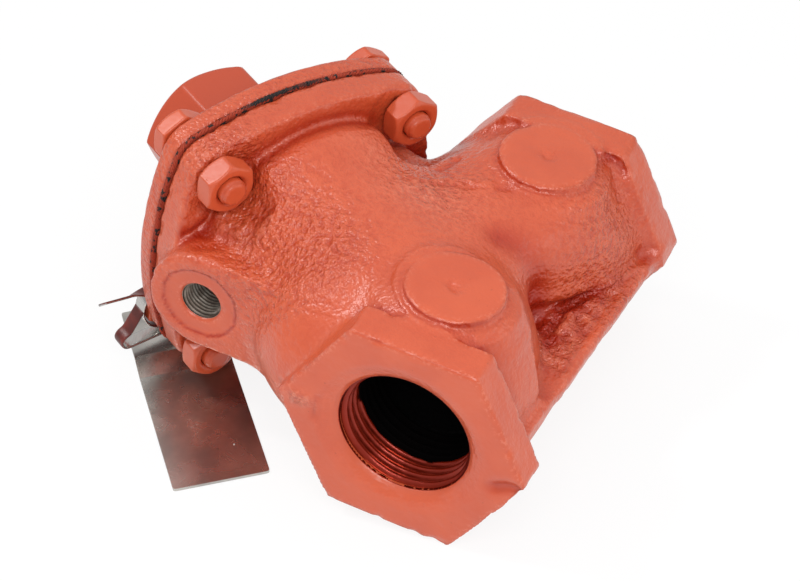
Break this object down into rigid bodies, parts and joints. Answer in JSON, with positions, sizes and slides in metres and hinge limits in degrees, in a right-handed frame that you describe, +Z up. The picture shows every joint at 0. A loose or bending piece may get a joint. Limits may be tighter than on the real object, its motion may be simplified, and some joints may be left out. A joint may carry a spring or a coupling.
{
  "type": "steam trap",
  "caption": "Lying steam trap: coaxial hexagonal threaded ends, sloping chamber with bolted cover and tall hex cap, tapped side boss, round pads, bimetal valve parts and strapped-on tag.",
  "frame": {"origin": "centre of the bounding box in X and Y, at the height of the floor the trap lies on", "axes": "+X along the pipe from outlet to inlet, +Y towards the cover and cap, +Z up, in the lying pose of the picture"},
  "size_m": [0.1, 0.121, 0.0713],
  "materials": {
    "red_primer": "satin red-orange primer over a sand casting",
    "fibre_gasket": "dull compressed fibre",
    "stainless": "turned",
    "bimetal": "rolled strip",
    "copper": "soft copper",
    "mirror_steel": "mirror polished stainless sheet"
  },
  "bodies": {
    "housing": {"body": "red_primer", "cover_gasket": "fibre_gasket", "cover": "red_primer", "cap_gasket": "copper", "hex_cap": "red_primer", "cover_bolt_1": "red_primer", "cover_bolt_2": "red_primer", "cover_bolt_3": "red_primer", "cover_bolt_4": "red_primer", "cover_nut_1": "red_primer", "cover_nut_2": "red_primer", "cover_nut_3": "red_primer", "cover_nut_4": "red_primer", "seat_gasket": "copper", "valve_seat": "stainless", "stack_plate": "stainless", "strainer_screen": "stainless", "tag_strap": "red_primer"},
    "stem": {"valve_stem": "stainless", "spacer_sleeve": "stainless", "adjusting_nut": "stainless", "lock_nut": "stainless"},
    "bimetal_1": {"bimetal_pair_1": "bimetal"},
    "bimetal_2": {"bimetal_pair_2": "bimetal"},
    "bimetal_3": {"bimetal_pair_3": "bimetal"},
    "bimetal_4": {"bimetal_pair_4": "bimetal"},
    "bimetal_5": {"bimetal_pair_5": "bimetal"},
    "bimetal_6": {"bimetal_pair_6": "bimetal"},
    "tag": {"tag": "mirror_steel"}
  },
  "joints": [
    {"name": "stem_lift", "type": "slide", "parent": "housing", "child": "stem", "axis": [0.5105, 0.8492, 0.1349], "range_m": [0, 0.0022]},
    {"name": "bimetal_spread_1", "type": "slide", "parent": "housing", "child": "bimetal_1", "axis": [0.5105, 0.8492, 0.1349], "range_m": [0, 0.0001834]},
    {"name": "bimetal_spread_2", "type": "slide", "parent": "housing", "child": "bimetal_2", "axis": [0.5105, 0.8492, 0.1349], "range_m": [0, 0.00055]},
    {"name": "bimetal_spread_3", "type": "slide", "parent": "housing", "child": "bimetal_3", "axis": [0.5105, 0.8492, 0.1349], "range_m": [0, 0.0009167]},
    {"name": "bimetal_spread_4", "type": "slide", "parent": "housing", "child": "bimetal_4", "axis": [0.5105, 0.8492, 0.1349], "range_m": [0, 0.00128]},
    {"name": "bimetal_spread_5", "type": "slide", "parent": "housing", "child": "bimetal_5", "axis": [0.5105, 0.8492, 0.1349], "range_m": [0, 0.00165]},
    {"name": "bimetal_spread_6", "type": "slide", "parent": "housing", "child": "bimetal_6", "axis": [0.5105, 0.8492, 0.1349], "range_m": [0, 0.00202]},
    {"name": "tag_swing", "type": "hinge", "parent": "housing", "child": "tag", "pos_m": [-0.00208, 0.04588, 0], "axis": [0, 0, 1], "range_deg": [-20, 20]}
  ],
  "couplings": [
    {"joint": "bimetal_spread_1", "follows": "stem_lift", "ratio": 0.083333},
    {"joint": "bimetal_spread_2", "follows": "stem_lift", "ratio": 0.25},
    {"joint": "bimetal_spread_3", "follows": "stem_lift", "ratio": 0.41667},
    {"joint": "bimetal_spread_4", "follows": "stem_lift", "ratio": 0.58333},
    {"joint": "bimetal_spread_5", "follows": "stem_lift", "ratio": 0.75},
    {"joint": "bimetal_spread_6", "follows": "stem_lift", "ratio": 0.91667}
  ]
}
